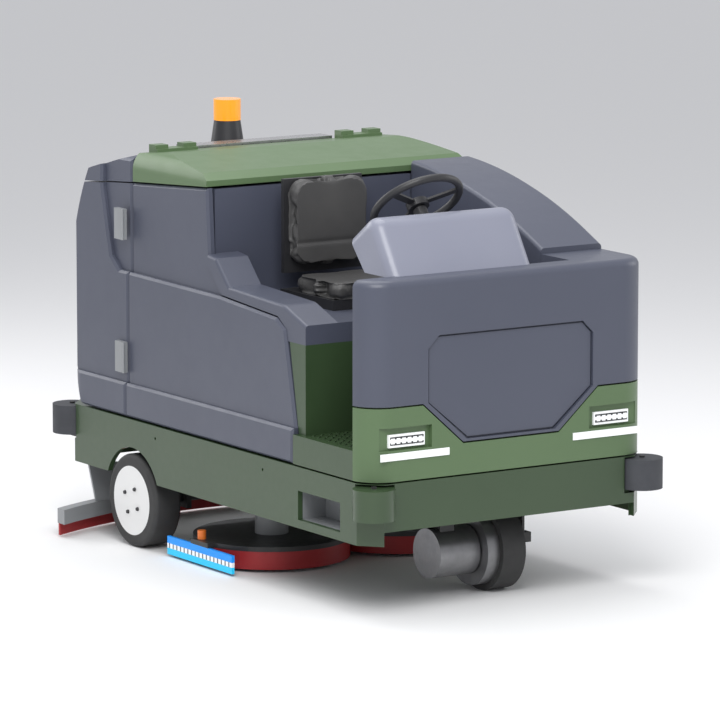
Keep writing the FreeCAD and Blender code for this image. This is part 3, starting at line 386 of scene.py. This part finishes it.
def groove_pad(obj, low, high, stitch):
    """Sewn channels: points near each channel's line sink towards the pad's middle."""
    axis, places, depth_axis = stitch
    middle = (low + high) / 2
    for vert in obj.data.vertices:
        for place in places:
            away = abs(vert.co[axis] - (low[axis] + (high[axis] - low[axis]) * place))
            sink = 0.006 * math.exp(-(away / 0.006) ** 2)
            vert.co[depth_axis] += sink if vert.co[depth_axis] < middle[depth_axis] else -sink


pad("seat_cushion_pad", "seat_cushion", 0.05, 2, 0.012, (1, (0.16, 0.84), 2))
pad("seat_back_pad", "seat_back", 0.07, 1, 0.012, (2, (0.30,), 1))

# %% [markdown]
# Small things that repeat are made by Geometry Nodes: one tree copies a small mesh onto points,
# realizes the copies and sets their material. The points are a plain mesh of vertices.

# %% A tree that copies a piece onto points
def repeat_tree():
    tree = bpy.data.node_groups.new("copies_on_points", "GeometryNodeTree")
    face = tree.interface
    face.new_socket("Geometry", in_out="INPUT", socket_type="NodeSocketGeometry")
    face.new_socket("Piece", in_out="INPUT", socket_type="NodeSocketObject")
    face.new_socket("Scale", in_out="INPUT", socket_type="NodeSocketFloat")
    face.new_socket("Finish", in_out="INPUT", socket_type="NodeSocketMaterial")
    face.new_socket("Geometry", in_out="OUTPUT", socket_type="NodeSocketGeometry")
    nodes, links = tree.nodes, tree.links
    start, end = nodes.new("NodeGroupInput"), nodes.new("NodeGroupOutput")
    info = nodes.new("GeometryNodeObjectInfo")
    copies = nodes.new("GeometryNodeInstanceOnPoints")
    real = nodes.new("GeometryNodeRealizeInstances")
    paint = nodes.new("GeometryNodeSetMaterial")
    links.new(start.outputs["Geometry"], copies.inputs["Points"])
    links.new(start.outputs["Piece"], info.inputs["Object"])
    links.new(info.outputs["Geometry"], copies.inputs["Instance"])
    links.new(start.outputs["Scale"], copies.inputs["Scale"])
    links.new(copies.outputs["Instances"], real.inputs["Geometry"])
    links.new(real.outputs["Geometry"], paint.inputs["Geometry"])
    links.new(start.outputs["Finish"], paint.inputs["Material"])
    links.new(paint.outputs["Geometry"], end.inputs["Geometry"])
    return tree


TREE = repeat_tree()
SOCKETS = {item.name: item.identifier for item in TREE.interface.items_tree
           if item.in_out == "INPUT"}


def copies(name, points, piece, slot, body):
    """One joined mesh of a piece at every point."""
    mesh = bpy.data.meshes.new(name)
    mesh.from_pydata(points, [], [])
    obj = bpy.data.objects.new(name, mesh)
    scene.collection.objects.link(obj)
    modifier = obj.modifiers.new("copies", "NODES")
    modifier.node_group = TREE
    modifier[SOCKETS["Piece"]] = piece
    modifier[SOCKETS["Scale"]] = 1.0
    modifier[SOCKETS["Finish"]] = MATERIALS[slot]
    applied(obj)
    bpy.data.objects.remove(piece)
    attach(obj, body)
    print(name, len(points), "copies", len(obj.data.polygons), "faces")
    return obj


def seed(name, build):
    """A small mesh to copy, made by build() on a bmesh."""
    mesh = bpy.data.meshes.new(name)
    shape = bmesh.new()
    build(shape)
    bmesh.ops.recalc_face_normals(shape, faces=shape.faces)
    shape.to_mesh(mesh)
    shape.free()
    obj = bpy.data.objects.new(name, mesh)
    scene.collection.objects.link(obj)
    return obj


def screw_head(radius, height, turn):
    """A domed round head that stands along Z, then is turned."""
    def build(shape):
        bmesh.ops.create_cone(shape, cap_ends=True, segments=12, radius1=radius,
                              radius2=radius * 0.7, depth=height)
        bmesh.ops.rotate(shape, verts=shape.verts, matrix=turn)
    return build


TO_X = Matrix.Rotation(math.radians(90), 3, "Y")

# %% [markdown]
# Each hub has four dark wheel bolts. The step has a diagonal tread, and the tyres have a block
# tread.

# %% Lamp diodes, wheel bolts, step tread and tyre tread
lamp_low, lamp_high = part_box("headlamps")
DIODE_GAP = 0.023
diodes = [(side * (lamp_high[0] - 0.016 - k * DIODE_GAP), lamp_low[1] - 0.001,
           (lamp_low[2] + lamp_high[2]) / 2) for side in (-1, 1) for k in range(6)]
copies("lamp_diodes", diodes, seed("diode", lambda shape: (
    bmesh.ops.create_cube(shape, size=1.0, matrix=Matrix.Diagonal((0.015, 0.004, 0.020, 1.0))),)),
    "lamp", "machine")
frames = []
for side in (-1, 1):
    frames += [(side * (lamp_high[0] - 0.075), lamp_low[1] - 0.0005, lamp_high[2] - 0.0125),
               (side * (lamp_high[0] - 0.075), lamp_low[1] - 0.0005, lamp_low[2] + 0.0125)]
copies("lamp_frames", frames, seed("lamp_bar", lambda shape: (
    bmesh.ops.create_cube(shape, size=1.0, matrix=Matrix.Diagonal((0.138, 0.003, 0.008, 1.0))),)),
    "black", "machine")

BOLT_CIRCLE = 0.052
for side, word in ((-1, "right"), (1, "left")):
    low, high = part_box("rear_hub_" + word)
    outer = low[0] if side < 0 else high[0]
    centre = ((low[1] + high[1]) / 2, (low[2] + high[2]) / 2)
    spots = [(outer + side * 0.001, centre[0] + BOLT_CIRCLE * math.cos(k * math.pi / 2 + 0.5),
              centre[1] + BOLT_CIRCLE * math.sin(k * math.pi / 2 + 0.5)) for k in range(4)]
    copies("wheel_bolts_" + word, spots,
           seed("bolt", screw_head(0.009, 0.012, TO_X if side > 0 else TO_X.transposed())),
           "black", "rear_wheel_" + word)

step_low, step_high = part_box("floor_step")
rib_gap, rib_rows = 0.034, 9
ribs = [(x_now, y_now, step_high[2] + 0.001)
        for x_now in [step_low[0] + 0.045 + k * rib_gap for k in range(24)]
        for y_now in [step_low[1] + 0.05 + j * rib_gap for j in range(rib_rows)]]
copies("step_tread", ribs, seed("rib", lambda shape: (
    bmesh.ops.create_cube(shape, size=1.0, matrix=Matrix.Rotation(math.radians(40), 4, "Z")
                          @ Matrix.Diagonal((0.024, 0.007, 0.005, 1.0))),)), "green", "machine")


def tyre_blocks(name, node, body, count):
    """Tread blocks just proud of the tyre, which the frame solid carries."""
    low, high = (Vector(corner_now) for corner_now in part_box(node))
    middle, wide = (low + high) / 2, high[0] - low[0]
    radius = (high[2] - low[2]) / 2
    mesh = bpy.data.meshes.new(name)
    shape = bmesh.new()
    for k in range(count):
        for row in (-1, 1):
            angle = (k + (0.5 if row > 0 else 0.0)) * math.tau / count
            block = bmesh.ops.create_cube(shape, size=1.0)["verts"]
            shift = Matrix.Translation((row * wide * 0.21, 0, radius - 0.0033))
            size = Matrix.Diagonal((wide * 0.34, 0.019, 0.006, 1.0))
            place = Matrix.Translation(middle) @ Matrix.Rotation(angle, 4, "X") @ shift @ size
            bmesh.ops.transform(shape, matrix=place, verts=block)
    shape.to_mesh(mesh)
    shape.free()
    obj = bpy.data.objects.new(name, mesh)
    scene.collection.objects.link(obj)
    mesh.materials.append(MATERIALS["tyre"])
    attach(obj, body)


tyre_blocks("tread_right", "rear_tyre_right", "rear_wheel_right", 40)
tyre_blocks("tread_left", "rear_tyre_left", "rear_wheel_left", 40)
tyre_blocks("tread_drive", "drive_tyre", "drive_wheel", 36)
